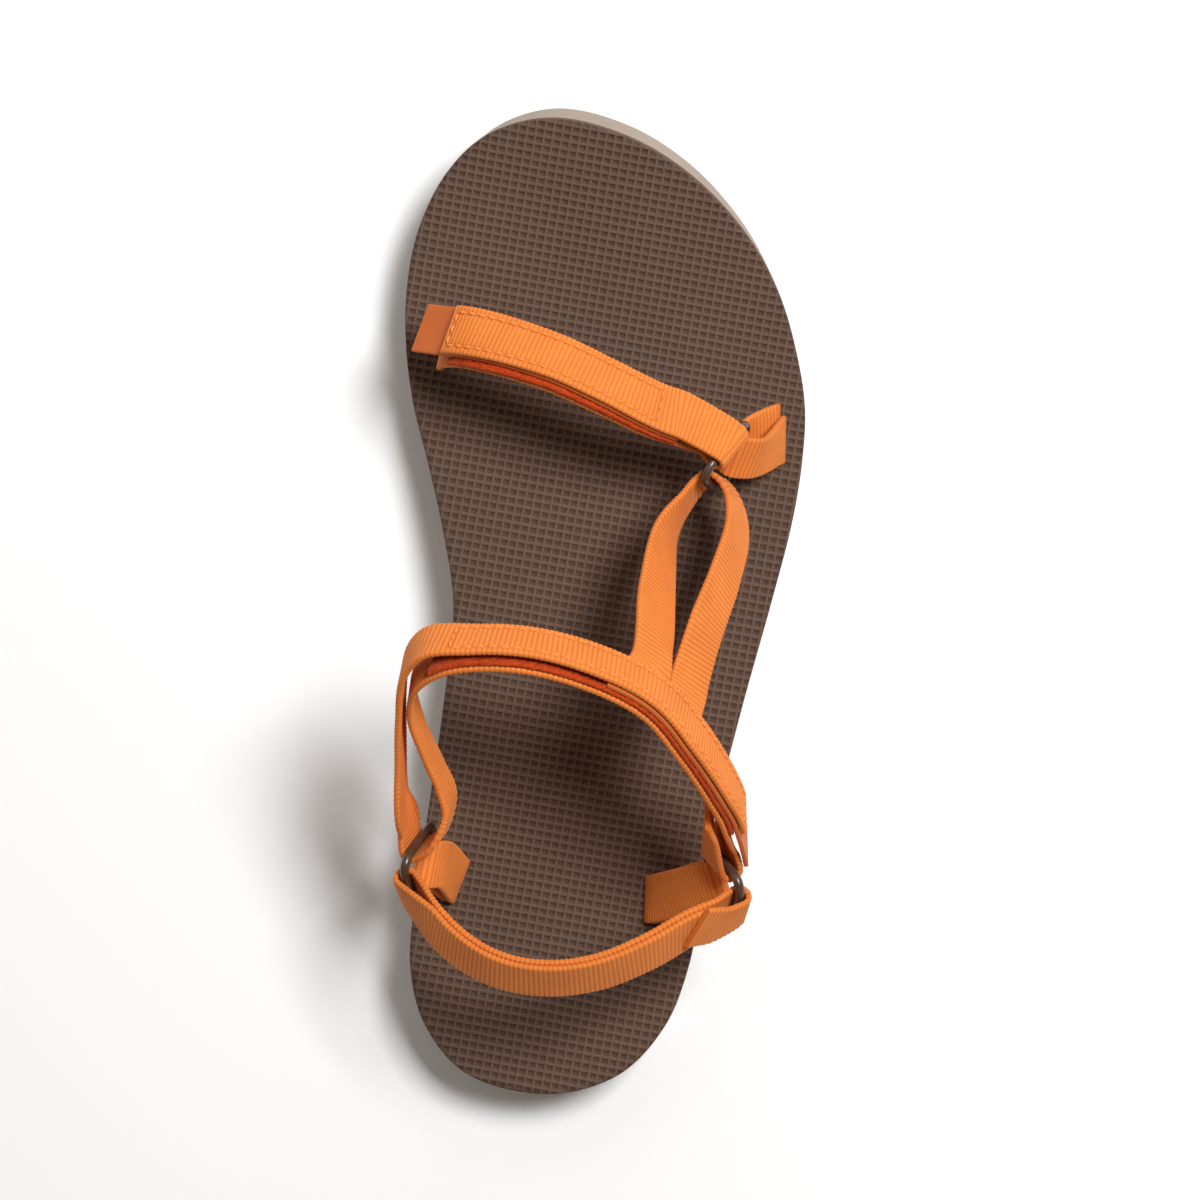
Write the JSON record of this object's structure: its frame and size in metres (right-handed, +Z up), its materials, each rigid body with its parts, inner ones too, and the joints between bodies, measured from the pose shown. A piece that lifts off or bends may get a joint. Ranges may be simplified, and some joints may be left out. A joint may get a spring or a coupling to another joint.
{
  "type": "sport sandal",
  "caption": "Open right-foot sport sandal: foam sole with toe spring, textured footbed, and ribbed webbing toe, instep, ankle and heel straps joined by triangular rings.",
  "frame": {"origin": "middle of the sandal's box in plan, on the floor that it stands on", "axes": "+Y towards the toe, +X towards the outer (lateral) side of the right foot, +Z up"},
  "size_m": [0.1018, 0.253, 0.1013],
  "materials": {
    "sole_foam": "matte beige foam",
    "footbed_foam": "matte dark brown, embossed with small square pits",
    "ring_plastic": "glossy dark brown",
    "webbing": "ribbed woven orange webbing",
    "tape": "smooth orange fastening tape",
    "fleece": "dark orange loop pile"
  },
  "bodies": {
    "root": {"sole": "sole_foam", "footbed": "footbed_foam", "toe_ring": "ring_plastic", "heel_ring_medial": "ring_plastic", "heel_ring_lateral": "ring_plastic", "toe_strap": "webbing", "toe_hook_tape": "tape", "toe_loop_tape": "fleece", "ankle_strap": "webbing", "ankle_hook_tape": "tape", "ankle_loop_tape": "fleece", "heel_strap": "webbing", "toe_anchor": "webbing", "heel_anchor_medial": "webbing", "heel_anchor_lateral": "webbing"}
  },
  "joints": []
}
